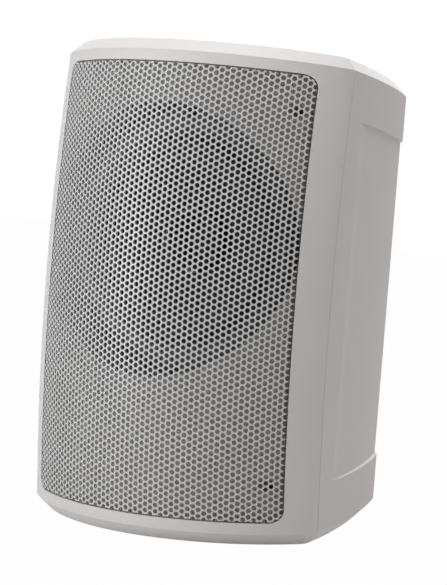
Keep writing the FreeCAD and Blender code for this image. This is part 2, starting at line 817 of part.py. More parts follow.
def terminal_panel():
    """Panel in the rear recess, with standoffs for the crossover board."""
    plate = rounded_block(
        -panel_width / 2, panel_width / 2, panel_front, panel_back,
        pocket_centre - panel_height / 2, pocket_centre + panel_height / 2, pocket_corner - panel_border)
    posts = [cylinder(standoff_radius, board_back, panel_front, x, z) for x, z in standoff_places]
    plate = join([plate] + posts)
    shaft_hole = selector_shaft_radius + selector_play
    cuts = [cylinder(shaft_hole, panel_front - 1, panel_back + 1, selector_x, pocket_centre)]
    for x, z in panel_screw_places:
        cuts.append(cylinder(panel_screw_radius + screw_pilot, panel_front - 1, panel_back + 1, x, z))
    for x, z in standoff_places:
        end = board_back + board_screw_length
        cuts.append(cylinder(board_screw_radius + screw_pilot, board_back - 1, end, x, z))
    return plate.cut(Part.makeCompound(cuts))


def panel_gasket():
    """Frame under the terminal panel."""
    frame = centred_block(panel_width, panel_height, pocket_floor, panel_front)
    frame = frame.cut(centred_block(cutout_width, cutout_height, pocket_floor - 1, panel_front + 1))
    holes = [cylinder(panel_screw_radius + screw_pilot, pocket_floor - 1, panel_front + 1, x, z)
             for x, z in panel_screw_places]
    return frame.cut(Part.makeCompound(holes))


def tap_switch():
    """Rotary switch body behind the panel."""
    end = panel_front
    start = end - selector_body_length
    case = rounded_block(
        selector_x - selector_body / 2, selector_x + selector_body / 2, start, end,
        pocket_centre - selector_body / 2, pocket_centre + selector_body / 2, selector_body_corner)
    hole_start = start + selector_bearing
    return case.cut(cylinder(selector_shaft_radius + fit, hole_start, end + 1, selector_x, pocket_centre))


def selector_shaft():
    """Shaft from the switch through the panel into the knob."""
    r = selector_shaft_radius
    start = panel_front - selector_body_length + selector_bearing + fit
    end = panel_back + selector_knob_length - knob_roof - fit
    shaft = cylinder(r, start, end, selector_x, pocket_centre)
    flat = centred_block(2 * r, r, panel_back + selector_lift, end + 1, selector_x, pocket_centre + 1.3 * r)
    return shaft.cut(flat)


def selector_knob():
    """Fluted knob with a pointer ridge."""
    r = selector_knob_radius
    top = r - knob_taper
    start = panel_back + selector_lift
    end = panel_back + selector_knob_length
    grip_start = start + knob_skirt + 1
    knob = turned([
        (0, start), (r, start), (r, start + knob_skirt), (top + 0.5, grip_start),
        (top, end - 1), (top - 1, end), (0, end)], selector_x, pocket_centre)
    x0, x1 = selector_x - knob_ridge / 2, selector_x + knob_ridge / 2
    knob = join([knob, block(x0, x1, start, end, pocket_centre, pocket_centre + r)])
    cuts = [cylinder(selector_shaft_radius + fit, start - 1, end - knob_roof, selector_x, pocket_centre)]
    flute_circle = r - knob_flute / 2
    for k in range(1, knob_flutes):
        a = math.radians(90 + 360 * k / knob_flutes)
        x = selector_x + flute_circle * math.cos(a)
        z = pocket_centre + flute_circle * math.sin(a)
        cuts.append(cylinder(knob_flute, grip_start, end + 1, x, z))
    return knob.cut(Part.makeCompound(cuts))


def terminal_header():
    """Open socket on the panel that takes the plug."""
    shroud = centred_block(header_width, header_height, panel_back, panel_back + header_length, header_x)
    room = 2 * header_wall
    floor = panel_back + header_wall
    mouth = panel_back + header_length + 1
    return shroud.cut(centred_block(header_width - room, header_height - room, floor, mouth, header_x))


plug_width = header_width - 2 * header_wall - 2 * plug_clear
plug_height = header_height - 2 * header_wall - 2 * plug_clear
plug_start = panel_back + header_wall + fit
plug_end = plug_start + plug_length
plug_pitch = plug_width / plug_ways
plug_way_x = [header_x + (i - (plug_ways - 1) / 2) * plug_pitch for i in range(plug_ways)]


def terminal_plug():
    """Cable-side half of the terminal block, with wire mouths at the rear and screw shafts on top."""
    nose = centred_block(plug_width, plug_height, plug_start, plug_end, header_x)
    cuts = []
    for x in plug_way_x:
        cuts.append(cylinder(wire_mouth, plug_end - wire_mouth_deep, plug_end + 1, x, pocket_centre - 1))
        foot = V(x, along_y(plug_end - clamp_back), pocket_centre + 1)
        cuts.append(Part.makeCylinder(clamp_screw + fit, plug_height, foot))
    return nose.cut(Part.makeCompound(cuts))


def terminal_screws():
    """Clamp screws in the plug's shafts."""
    solids = []
    low = pocket_centre + 1
    top = pocket_centre + plug_height / 2 - slot_width
    y = along_y(plug_end - clamp_back)
    for x in plug_way_x:
        rod = Part.makeCylinder(clamp_screw, top - low, V(x, y, low))
        corner = V(x - 2 * clamp_screw, y - slot_width / 2, top - slot_width)
        solids.append(rod.cut(Part.makeBox(4 * clamp_screw, slot_width, 2 * slot_width, corner)))
    return solids


board_front = panel_front - board_gap - board_thick
board_back = panel_front - board_gap
standoff_places = [
    (sx * (board_width / 2 - standoff_inset), pocket_centre + sz * (board_height / 2 - standoff_inset))
    for sx in (-1, 1) for sz in (-1, 1)]


def crossover_board():
    """Circuit board on the panel's standoffs."""
    board = centred_block(board_width, board_height, board_front, board_back)
    holes = [cylinder(board_screw_radius + screw_pilot, board_front - 1, board_back + 1, x, z)
             for x, z in standoff_places]
    return board.cut(Part.makeCompound(holes))


def transformer_core():
    """Laminated core with a leg through the coil."""
    start = board_front - core_thick
    core = centred_block(core_width, core_height, start, board_front, core_x)
    window_w = (core_width - 2 * core_leg) / 2
    tools = []
    for sx in (-1, 1):
        x = core_x + sx * (core_leg / 2 + window_w / 2)
        tools.append(centred_block(window_w, core_height - core_leg, start - 1, board_front + 1, x))
    return core.cut(Part.makeCompound(tools))


def transformer_coil():
    """Winding round the core's middle leg."""
    window_w = (core_width - 2 * core_leg) / 2
    w = core_leg + 2 * window_w - 2 * coil_room
    h = core_height - core_leg - 2 * coil_room
    start = board_front - core_thick
    coil = centred_block(w, h, start - window_w + 1, board_front - coil_room, core_x)
    leg = centred_block(core_leg + 2 * coil_room, h + 2, start - coil_room, board_front, core_x)
    return coil.cut(leg)


def crossover_inductors():
    """Two coils standing on the board."""
    solids = []
    for sz in (-1, 1):
        z = pocket_centre + sz * inductor_rise
        start = board_front - inductor_length
        solids.append(turned([
            (inductor_bore, start), (inductor_radius, start), (inductor_radius, board_front),
            (inductor_bore, board_front)], inductor_x, z))
    return solids


def crossover_capacitors():
    """Two film capacitors standing on the board."""
    solids = []
    for sz in (-1, 1):
        z = pocket_centre + sz * capacitor_rise
        start = board_front - capacitor_length
        r, c = capacitor_radius, capacitor_chamfer
        outline = [(0, start), (r - c, start), (r, start + c), (r, board_front), (0, board_front)]
        solids.append(turned(outline, capacitor_x, z))
    return solids


def damping_pad():
    """Wadding on the rear wall, cut out round the insert bosses."""
    end = depth - wall
    pad = block(-damping_width / 2, damping_width / 2, end - damping_thick, end, damping_low, damping_high)
    holes = [cylinder(insert_boss + damping_room, end - damping_thick - 1, end + 1, x, z)
             for x, z in bracket_places]
    return pad.cut(Part.makeCompound(holes))


def baffle_screws():
    """Screws that hold the front moulding to the cabinet."""
    size = (baffle_screw_radius, baffle_screw_length, baffle_head, baffle_head_height)
    return [screw(x, z, baffle_seat, *size) for x, z in baffle_screw_places]


def driver_screws():
    """Screws through the driver's flange."""
    size = (driver_screw_radius, driver_screw_length, driver_head, driver_head_height)
    return [screw(x, z, driver_depth, *size) for x, z in driver_screw_places]


def panel_screws():
    """Screws through the terminal panel."""
    size = (panel_screw_radius, panel_screw_length, panel_head, panel_head_height)
    return [screw(x, z, panel_back, *size, forward=False) for x, z in panel_screw_places]


def board_screws():
    """Screws that hold the crossover board to its standoffs."""
    size = (board_screw_radius, board_screw_length, board_head, board_head_height)
    return [screw(x, z, board_front, *size) for x, z in standoff_places]


pieces = [
    front_baffle, rear_cabinet, baffle_gasket, grille, baffle_screws,
    driver_basket, driver_gasket, driver_screws, surround, cone, voice_coil, spider,
    top_plate, magnet, pole_yoke, tweeter_motor, tweeter_dome, tweeter_waveguide, driver_terminals,
    bracket_inserts, yoke_inserts,
    terminal_panel, panel_gasket, panel_screws, tap_switch, selector_shaft, selector_knob,
    terminal_header, terminal_plug, terminal_screws,
    crossover_board, board_screws, transformer_core, transformer_coil,
    crossover_inductors, crossover_capacitors, damping_pad,
]

os.makedirs("parts", exist_ok=True)
for piece in pieces:
    made = piece()
    shape = Part.makeCompound(made) if isinstance(made, list) else made
    shape.exportStep("parts/" + piece.__name__ + ".step")
    print(piece.__name__, len(shape.Solids), "solids", round(shape.Volume), "mm3", shape.isValid())
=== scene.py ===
# %% [markdown]
# A wall or shelf speaker in light grey plastic: a moulded cabinet that narrows to the rear, and a curved
# steel grille with thousands of small holes. The construction model already holds every piece at its real
# size. This lesson gives each surface its finish, makes the grille with all its holes, and adds the small
# things a construction model leaves out. Everything is in metres, with the front towards -Y.

# %% Load the construction model
import json
import math

import bmesh
import bpy
from mathutils import Matrix, Vector, noise


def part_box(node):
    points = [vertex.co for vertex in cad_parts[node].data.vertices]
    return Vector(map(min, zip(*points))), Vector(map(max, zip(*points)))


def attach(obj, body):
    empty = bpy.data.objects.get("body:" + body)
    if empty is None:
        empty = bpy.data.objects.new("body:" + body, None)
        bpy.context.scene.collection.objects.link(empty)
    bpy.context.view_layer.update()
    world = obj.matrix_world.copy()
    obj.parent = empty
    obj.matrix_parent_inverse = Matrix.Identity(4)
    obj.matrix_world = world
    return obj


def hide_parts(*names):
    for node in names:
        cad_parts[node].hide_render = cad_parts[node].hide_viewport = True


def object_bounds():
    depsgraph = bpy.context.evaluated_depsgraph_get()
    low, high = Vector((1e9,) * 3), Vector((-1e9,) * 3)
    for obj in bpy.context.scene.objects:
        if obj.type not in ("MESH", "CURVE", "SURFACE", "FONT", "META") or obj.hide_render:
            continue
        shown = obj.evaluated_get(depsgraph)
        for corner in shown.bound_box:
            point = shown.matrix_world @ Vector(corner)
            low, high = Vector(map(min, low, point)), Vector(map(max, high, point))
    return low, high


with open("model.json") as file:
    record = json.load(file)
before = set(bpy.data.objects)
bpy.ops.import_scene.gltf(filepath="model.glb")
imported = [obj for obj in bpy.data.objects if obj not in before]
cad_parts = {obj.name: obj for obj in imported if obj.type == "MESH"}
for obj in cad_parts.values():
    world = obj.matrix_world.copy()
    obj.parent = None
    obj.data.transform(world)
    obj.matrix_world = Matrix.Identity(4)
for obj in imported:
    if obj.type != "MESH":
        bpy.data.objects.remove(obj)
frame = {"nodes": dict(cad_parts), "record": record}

MM = 0.001
cad_low, cad_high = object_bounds()
nodes = frame["nodes"]
scene = bpy.context.scene
scene.view_settings.view_transform = "Standard"
print("pieces in the construction model:", len(nodes))

# %% [markdown]
# The picture to match is a studio shot on plain white. A floor that is simply lit would turn grey towards
# the horizon, so most of what the camera sees of it is a plain white glow, and a small share is ordinary
# diffuse colour that still takes the speaker's shadow. Reflections see the same white. Any other ray
# meets the pale floor itself, which sends part of the light back up, and a dim sky.

# %% Floor and surroundings


def white_for_camera(tree, shader, share):
    """Mixes a shader with plain white, for camera, mirror and glass rays only."""
    path = tree.nodes.new("ShaderNodeLightPath")
    seen = path.outputs["Is Camera Ray"]
    for ray in ("Is Glossy Ray", "Is Transmission Ray"):
        either = tree.nodes.new("ShaderNodeMath")
        either.operation = "MAXIMUM"
        tree.links.new(seen, either.inputs[0])
        tree.links.new(path.outputs[ray], either.inputs[1])
        seen = either.outputs[0]
    weight = tree.nodes.new("ShaderNodeMath")
    weight.operation = "MULTIPLY"
    weight.inputs[1].default_value = share
    tree.links.new(seen, weight.inputs[0])
    glow = tree.nodes.new("ShaderNodeBackground" if tree.type == "WORLD" else "ShaderNodeEmission")
    mix = tree.nodes.new("ShaderNodeMixShader")
    tree.links.new(weight.outputs[0], mix.inputs[0])
    tree.links.new(shader.outputs[0], mix.inputs[1])
    tree.links.new(glow.outputs[0], mix.inputs[2])
    glow.inputs["Color"].default_value = (1, 1, 1, 1)
    glow.inputs["Strength"].default_value = 1.0
    return mix


floor_size = 12.0
floor_grey = (0.58, 0.57, 0.565)
floor_glow = 0.985
floor_shape = bmesh.new()
bmesh.ops.create_grid(floor_shape, x_segments=1, y_segments=1, size=floor_size / 2)
floor_mesh = bpy.data.meshes.new("floor")
floor_shape.to_mesh(floor_mesh)
floor_shape.free()
floor = bpy.data.objects.new("floor", floor_mesh)
scene.collection.objects.link(floor)

floor_paint = bpy.data.materials.new("pale_floor")
floor_paint.use_nodes = True
tree = floor_paint.node_tree
tree.nodes.clear()
matt = tree.nodes.new("ShaderNodeBsdfDiffuse")
matt.inputs["Color"].default_value = (*floor_grey, 1)
surface = tree.nodes.new("ShaderNodeOutputMaterial")
tree.links.new(white_for_camera(tree, matt, floor_glow).outputs[0], surface.inputs["Surface"])
floor_mesh.materials.append(floor_paint)

sky_tint = (1.0, 0.99, 0.97)
sky_strength = 0.03
world = bpy.data.worlds.new("studio")
scene.world = world
world.use_nodes = True
tree = world.node_tree
tree.nodes.clear()
sky = tree.nodes.new("ShaderNodeBackground")
sky.inputs["Color"].default_value = (*sky_tint, 1)
sky.inputs["Strength"].default_value = sky_strength
surface = tree.nodes.new("ShaderNodeOutputWorld")
tree.links.new(white_for_camera(tree, sky, 1.0).outputs[0], surface.inputs["Surface"])
print("floor", floor_size, "m across")

# %% [markdown]
# The light in the picture is soft and comes from above: the bevel on top is the brightest surface, the
# bezel fades from left to right, and the side wall is the darkest. One wide lamp overhead does most of
# it. Two weak ones at the right light the side wall from above, so that the ceiling of its recess lies in
# shade, and a small one low at the left gives the fade. The last one lights the rear, which the picture
# doesn't show.

# %% Studio lamps
centre = (cad_low + cad_high) / 2


def soft_lamp(name, place, size, power, tint=(1.0, 1.0, 1.0)):
    """Square area lamp that points at the middle of the speaker."""
    data = bpy.data.lights.new(name, "AREA")
    data.shape = "SQUARE"
    data.size = size
    data.energy = power
    data.color = tint
    lamp = bpy.data.objects.new(name, data)
    scene.collection.objects.link(lamp)
    lamp.location = place
    lamp.rotation_euler = (centre - lamp.location).to_track_quat("-Z", "Y").to_euler()


cool = (0.96, 0.975, 1.0)
warm = (1.0, 0.92, 0.86)
soft_lamp("top_lamp", Vector((0.25, -0.4, 2.2)), 1.6, 43, cool)
soft_lamp("right_lamp", Vector((1.8, 0.1, 1.7)), 1.2, 4.4, warm)
soft_lamp("front_lamp", Vector((1.7, -1.6, 0.9)), 1.2, 3.6, warm)
soft_lamp("low_lamp", Vector((-0.75, -1.0, 0.17)), 0.3, 7.4, cool)
soft_lamp("back_lamp", Vector((-0.5, 2.0, 1.2)), 1.2, 6)
print("lamps:", len(bpy.data.lights))

# %% [markdown]
# The camera stands where the photographer stood: a little to the right of the front and just above the
# middle, about a metre and a half away with a long lens. The picture leans, so the camera is turned a few
# degrees about its own line of sight.

# %% Camera
image_long_side = 585
focal_pixels = 2537.5
sensor = 36.0
camera_place = Vector((690.1, -1272.6, 201.5)) * MM
camera_azimuth = math.radians(28.35)
camera_elevation = math.radians(2.65)
camera_roll = math.radians(4.57)

forward = Vector((
    -math.sin(camera_azimuth) * math.cos(camera_elevation),
    math.cos(camera_azimuth) * math.cos(camera_elevation),
    -math.sin(camera_elevation)))
level_right = forward.cross(Vector((0, 0, 1))).normalized()
level_up = level_right.cross(forward)
up = level_up * math.cos(camera_roll) - level_right * math.sin(camera_roll)
right = forward.cross(up)
camera_data = bpy.data.cameras.new("camera")
camera_data.sensor_width = sensor
camera_data.lens = focal_pixels / image_long_side * sensor
camera = bpy.data.objects.new("camera", camera_data)
scene.collection.objects.link(camera)
turn = Matrix((right, up, -forward)).transposed().to_4x4()
camera.matrix_world = Matrix.Translation(camera_place) @ turn
scene.camera = camera
print("lens", round(camera_data.lens, 1), "mm")

# %% [markdown]
# Every finish starts the same way: a base colour that drifts a little over the surface, and a fine grain
# that moves roughness and bump. Real plastic and paint are never one flat value. All patterns read Object
# coordinates, so they stay on the piece when it moves.

# %% Tools for finishes


class Finish:
    """A material under construction, with short calls for the few nodes the finishes share."""

    def __init__(self, name):
        self.material = bpy.data.materials.new(name)
        self.material.use_nodes = True
        self.tree = self.material.node_tree
        self.shader = self.tree.nodes["Principled BSDF"]
        self.place = self.tree.nodes.new("ShaderNodeTexCoord").outputs["Object"]

    def link(self, out, into):
        self.tree.links.new(out, into)

    def noise(self, size, detail=2.0, stretch=(1, 1, 1)):
        """Soft noise whose features are about size metres across."""
        mapping = self.tree.nodes.new("ShaderNodeMapping")
        mapping.inputs["Scale"].default_value = stretch
        self.link(self.place, mapping.inputs["Vector"])
        node = self.tree.nodes.new("ShaderNodeTexNoise")
        node.inputs["Scale"].default_value = 1 / size
        node.inputs["Detail"].default_value = detail
        self.link(mapping.outputs[0], node.inputs["Vector"])
        return node.outputs["Fac"]

    def cells(self, size):
        """Small rounded cells about size metres across."""
        node = self.tree.nodes.new("ShaderNodeTexVoronoi")
        node.inputs["Scale"].default_value = 1 / size
        self.link(self.place, node.inputs["Vector"])
        return node.outputs["Distance"]

    def lines(self, size, axis):
        """Even lines across an axis, one every size metres. The node's own step is pi / 10."""
        node = self.tree.nodes.new("ShaderNodeTexWave")
        node.wave_type = "BANDS"
        node.bands_direction = axis
        node.inputs["Scale"].default_value = math.pi / 10 / size
        self.link(self.place, node.inputs["Vector"])
        return node.outputs["Fac"]

    def spread(self, pattern, low, high):
        """Turns a pattern of 0 to 1 into values between low and high."""
        node = self.tree.nodes.new("ShaderNodeMapRange")
        node.inputs["To Min"].default_value = low
        node.inputs["To Max"].default_value = high
        self.link(pattern, node.inputs["Value"])
        return node.outputs["Result"]

    def colour(self, pattern, first, second):
        """Base colour that goes from first to second along a pattern."""
        node = self.tree.nodes.new("ShaderNodeValToRGB")
        node.color_ramp.elements[0].position = 0.3
        node.color_ramp.elements[0].color = (*first, 1)
        node.color_ramp.elements[1].position = 0.7
        node.color_ramp.elements[1].color = (*second, 1)
        self.link(pattern, node.inputs["Fac"])
        self.link(node.outputs["Color"], self.shader.inputs["Base Color"])

    def roughness(self, pattern, low, high):
        """Roughness that goes from low to high along a pattern."""
        self.link(self.spread(pattern, low, high), self.shader.inputs["Roughness"])

    def bump(self, pattern, height, strength=1.0):
        """Raises the surface by height metres where the pattern is 1."""
        node = self.tree.nodes.new("ShaderNodeBump")
        node.inputs["Strength"].default_value = strength
        node.inputs["Distance"].default_value = height
        self.link(pattern, node.inputs["Height"])
        self.link(node.outputs["Normal"], self.shader.inputs["Normal"])

    def math(self, operation, *values):
        """Combines patterns and plain numbers, as a pocket calculator does."""
        node = self.tree.nodes.new("ShaderNodeMath")
        node.operation = operation
        for socket, value in zip(node.inputs, values):
            if isinstance(value, float):
                socket.default_value = value
            else:
                self.link(value, socket)
        return node.outputs[0]

    def axes(self):
        """Distances from the origin along x, y and z."""
        split = self.tree.nodes.new("ShaderNodeSeparateXYZ")
        self.link(self.place, split.inputs[0])
        return split.outputs

    def recolour(self, mask, colour):
        """Replaces the base colour where the mask is 1."""
        mix = self.tree.nodes.new("ShaderNodeMix")
        mix.data_type = "RGBA"
        mix.inputs["B"].default_value = (*colour, 1)
        self.link(mask, mix.inputs["Factor"])
        base = self.shader.inputs["Base Color"]
        self.link(base.links[0].from_socket, mix.inputs["A"])
        self.link(mix.outputs["Result"], base)

    def metal(self):
        self.shader.inputs["Metallic"].default_value = 1.0


def shade(colour, factor):
    """A colour made lighter or darker."""
    return tuple(min(1.0, c * factor) for c in colour)


finishes = {}
print("tools for finishes:", len([name for name in vars(Finish) if not name.startswith("_")]))

# %% [markdown]
# The cabinet is moulded in a light, slightly warm grey with a fine spark-eroded grain: no gloss, but a
# soft sheen where the surface turns away. The grain is about a third of a millimetre across. Behind the
# grille the baffle's colour is darker, so that it doesn't show through the holes: painted shade for the
# dim light that gets in there. The painted shade is masked by distance: the front is an arc of 112 mm
# seen from above, bowed upwards on a radius of 1 m.

# %% Cabinet plastic
grey = (0.70, 0.672, 0.644)
across_radius = 112 * MM
bow_radius = 1000 * MM
front = cad_low.y
mid_height = (cad_low.z + cad_high.z) / 2
# Painted shade on the baffle behind the grille: how far inside the front, how high, and how much darker
painted_shade_inset = 4.5 * MM
painted_shade_half_height = 122 * MM
painted_shade_tone = 0.8


def behind_grille(made):
    """1 on the floor of the grille's window, a few millimetres inside the curve of the front: where shade
    is painted.
    """
    x, y, z = made.axes()
    up = made.math("SUBTRACT", z, mid_height)
    bow = made.math("DIVIDE", made.math("MULTIPLY", up, up), 2 * bow_radius)
    back = made.math("SUBTRACT", made.math("SUBTRACT", y, front + across_radius), bow)
    squares = made.math("ADD", made.math("MULTIPLY", x, x), made.math("MULTIPLY", back, back))
    inside = made.math("LESS_THAN", made.math("SQRT", squares), across_radius - painted_shade_inset)
    between = made.math("LESS_THAN", made.math("ABSOLUTE", up), painted_shade_half_height)
    return made.math("MULTIPLY", inside, between)


def cabinet_plastic(name):
    made = Finish(name)
    made.colour(made.noise(0.06), shade(grey, 0.985), shade(grey, 1.015))
    grain = made.noise(0.35 * MM, 3.0)
    made.roughness(grain, 0.42, 0.58)
    made.bump(grain, 0.03 * MM, 0.5)
    return made


finishes["cabinet_plastic"] = cabinet_plastic("cabinet_plastic").material
# The front moulding's copy of the plastic gets painted shade: a darker colour on the floor of the grille's
# window
painted_shade_baffle = cabinet_plastic("baffle_painted_shade")
painted_shade_baffle.recolour(behind_grille(painted_shade_baffle), shade(grey, painted_shade_tone))
print("finishes:", list(finishes))

# %% [markdown]
# The grille is powder coated in a grey close to the cabinet's. Powder coat flows out to a faint orange
# peel, coarser and smoother than the plastic's grain.

# %% Grille paint


def grille_paint():
    made = Finish("grille_paint")
    paint = (0.59, 0.585, 0.575)
    made.colour(made.noise(0.03), shade(paint, 0.97), shade(paint, 1.02))
    peel = made.noise(0.8 * MM, 1.0)
    made.roughness(peel, 0.36, 0.48)
    made.bump(peel, 0.02 * MM, 0.4)
    return made.material


finishes["grille_paint"] = grille_paint()
print("finishes:", list(finishes))

# %% [markdown]
# The driver behind the grille is black, but its parts differ in how they take light: painted steel has a
# low gloss, rubber is duller, and the pressed-fibre cone shows short hairs.

# %% Driver finishes


def black_paint(name, lift):
    made = Finish(name)
    black = (lift, lift, lift * 1.05)
    made.colour(made.noise(0.02), shade(black, 0.85), shade(black, 1.2))
    peel = made.noise(0.5 * MM, 2.0)
    made.roughness(peel, 0.38, 0.55)
    made.bump(peel, 0.02 * MM, 0.4)
    return made.material


def surround_rubber():
    made = Finish("surround_rubber")
    black = (0.022, 0.022, 0.023)
    made.colour(made.noise(0.01), shade(black, 0.8), shade(black, 1.3))
    bloom = made.noise(1.5 * MM, 3.0)
    made.roughness(bloom, 0.55, 0.72)
    made.bump(bloom, 0.015 * MM, 0.3)
    return made.material


def cone_paper():
    made = Finish("cone_paper")
    black = (0.024, 0.024, 0.026)
    hairs = made.noise(1.2 * MM, 6.0, (1, 0.25, 0.6))
    made.colour(hairs, shade(black, 0.6), shade(black, 1.7))
    made.roughness(hairs, 0.7, 0.9)
    made.bump(hairs, 0.06 * MM, 0.6)
    return made.material


def woven_cloth(name, colour, thread):
    made = Finish(name)
    weave = made.math("MULTIPLY", made.lines(thread, "X"), made.lines(thread, "Z"))
    made.colour(weave, shade(colour, 0.55), shade(colour, 1.15))
    made.roughness(weave, 0.9, 0.75)
    made.bump(weave, 0.1 * MM, 0.6)
    return made.material


finishes["basket_paint"] = black_paint("basket_paint", 0.03)
finishes["black_screw"] = black_paint("black_screw", 0.045)
finishes["surround_rubber"] = surround_rubber()
finishes["cone_paper"] = cone_paper()
finishes["spider_cloth"] = woven_cloth("spider_cloth", (0.42, 0.31, 0.14), 0.7 * MM)
finishes["dome_cloth"] = woven_cloth("dome_cloth", (0.04, 0.04, 0.045), 0.4 * MM)
finishes["wadding"] = woven_cloth("wadding", (0.72, 0.71, 0.68), 3.0 * MM)
print("finishes:", len(finishes))

# %% [markdown]
# The bare metals: zinc plated steel with a cloudy sheen, turned brass with fine tool rings, lacquered
# copper wire as close even lines, and stacked transformer sheets as a stripe every half millimetre. The
# coil's former and the face of the pole, which lie open behind the cone, are blackened as far back as a
# plane across the speaker.

# %% Metals
blackening = (0.012, 0.012, 0.012)
former_end = -5.0 * MM
pole_end = -4.0 * MM


def blacken_before(made, y):
    """Takes colour and sheen away in front of a plane at y."""
    ahead = made.math("LESS_THAN", made.axes()["Y"], y)
    made.recolour(ahead, blackening)
    made.link(made.math("SUBTRACT", 1.0, ahead), made.shader.inputs["Metallic"])


def zinc_steel(name, tint, black_end=None):
    made = Finish(name)
    made.metal()
    cloud = made.noise(2.5 * MM, 4.0)
    made.colour(cloud, shade(tint, 0.85), shade(tint, 1.1))
    if black_end is not None:
        blacken_before(made, black_end)
    made.roughness(cloud, 0.28, 0.45)
    made.bump(made.noise(0.4 * MM, 2.0), 0.01 * MM, 0.3)
    return made.material


def turned_brass():
    made = Finish("insert_brass")
    made.metal()
    brass = (0.72, 0.53, 0.22)
    made.colour(made.noise(1.5 * MM, 3.0), shade(brass, 0.85), shade(brass, 1.1))
    made.roughness(made.noise(0.6 * MM, 2.0), 0.25, 0.42)
    made.bump(made.lines(0.25 * MM, "Y"), 0.01 * MM, 0.3)
    return made.material


def copper_winding():
    made = Finish("winding")
    made.metal()
    copper = (0.62, 0.30, 0.16)
    wire = made.lines(0.5 * MM, "Y")
    made.colour(wire, shade(copper, 0.5), shade(copper, 1.15))
    blacken_before(made, former_end)
    made.roughness(wire, 0.5, 0.3)
    made.bump(wire, 0.12 * MM, 0.8)
    return made.material


def stacked_sheets():
    made = Finish("lamination")
    made.metal()
    steel = (0.22, 0.22, 0.23)
    sheets = made.lines(0.5 * MM, "Y")
    made.colour(sheets, shade(steel, 0.6), shade(steel, 1.2))
    made.roughness(sheets, 0.6, 0.42)
    made.bump(sheets, 0.05 * MM, 0.6)
    return made.material


finishes["motor_steel"] = zinc_steel("motor_steel", (0.50, 0.50, 0.50), pole_end)
finishes["screw_steel"] = zinc_steel("screw_steel", (0.58, 0.58, 0.57))
finishes["insert_brass"] = turned_brass()
finishes["winding"] = copper_winding()
finishes["lamination"] = stacked_sheets()
print("finishes:", len(finishes))

# %% [markdown]
# What is left is moulded or pressed: black plastic at the terminals, green terminal blocks, the circuit
# board, ferrite with its dusty ground faces, foam gaskets with open pores, and wrapped or dipped
# components.

# %% Plastics, foam and ferrite


def grained_plastic(name, colour, low, high, grain_size=0.4 * MM):
    made = Finish(name)
    made.colour(made.noise(0.02), shade(colour, 0.9), shade(colour, 1.1))
    grain = made.noise(grain_size, 3.0)
    made.roughness(grain, low, high)
    made.bump(grain, 0.03 * MM, 0.45)
    return made.material


def porous(name, colour, pore):
    made = Finish(name)
    pores = made.cells(pore)
    made.colour(pores, shade(colour, 1.3), shade(colour, 0.6))
    made.roughness(pores, 0.85, 0.95)
    made.bump(pores, 0.2 * MM, 0.7)
    return made.material


finishes["black_plastic"] = grained_plastic("black_plastic", (0.032, 0.032, 0.034), 0.45, 0.62)
finishes["terminal_plastic"] = grained_plastic("terminal_plastic", (0.05, 0.26, 0.10), 0.38, 0.52)
finishes["board"] = grained_plastic("board", (0.04, 0.20, 0.08), 0.25, 0.4, 1.5 * MM)
finishes["coil_wrap"] = grained_plastic("coil_wrap", (0.66, 0.55, 0.30), 0.4, 0.6, 1.0 * MM)
finishes["capacitor_case"] = grained_plastic("capacitor_case", (0.55, 0.38, 0.08), 0.15, 0.3, 1.0 * MM)
finishes["ferrite"] = porous("ferrite", (0.07, 0.07, 0.075), 0.6 * MM)
finishes["gasket_foam"] = porous("gasket_foam", (0.05, 0.05, 0.05), 0.5 * MM)
finishes["joint_seal"] = grained_plastic("joint_seal", (0.62, 0.60, 0.575), 0.6, 0.75, 0.3 * MM)
print("finishes:", len(finishes))

# %% [markdown]
# Each piece of the construction model takes the finish that the record names for it, and the front
# moulding the one with painted shade in the grille's window. The pieces themselves stay as they are.

# %% Dress the construction model
slot_of = {row["node"]: row["material_slot"] for row in frame["record"]["subparts"]}
for name, piece in nodes.items():
    piece.data.materials.clear()
    # The front moulding takes the plastic with painted shade behind the grille
    finish = painted_shade_baffle.material if name == "front_baffle" else finishes[slot_of[name]]
    piece.data.materials.append(finish)
print("dressed", len(nodes), "pieces")

# %% [markdown]
# The grille is the piece that needs the most care. A real one starts as flat perforated sheet: round
# holes on a staggered grid with upright columns. It is cut to its outline, pressed to its double curve,
# and its edge is folded back. The model follows the same order. One cell of the pattern is a hexagon with
# a round hole, made by bridging two loops. Two Array modifiers repeat a pair of cells over the sheet, and
# merging doubles welds it.

# %% One cell of perforated sheet
hole_pitch = 3.5 * MM
hole_radius = 1.42 * MM
column_step = hole_pitch * math.sqrt(3) / 2
sheet_thickness = 1.2 * MM


def add_cell(shape, x, y):
    """A hexagon with a round hole, flat sides up and down, around (x, y)."""
    corner = hole_pitch / math.sqrt(3)
    spot = Matrix.Translation((x, y, 0)) @ Matrix.Rotation(math.radians(90), 4, "Z")
    rim = bmesh.ops.create_circle(shape, segments=6, radius=corner, matrix=spot)["verts"]
    edges = {e for v in rim for e in v.link_edges}
    level = [e for e in edges if abs(e.verts[0].co.y - e.verts[1].co.y) < corner / 10]
    bmesh.ops.subdivide_edges(shape, edges=level, cuts=1)
    bmesh.ops.create_circle(shape, segments=8, radius=hole_radius, matrix=spot)
    bmesh.ops.bridge_loops(shape, edges=[e for e in shape.edges if e.is_wire])


pair = bmesh.new()
add_cell(pair, 0, 0)
add_cell(pair, column_step, hole_pitch / 2)
print("faces in a pair of cells:", len(pair.faces))

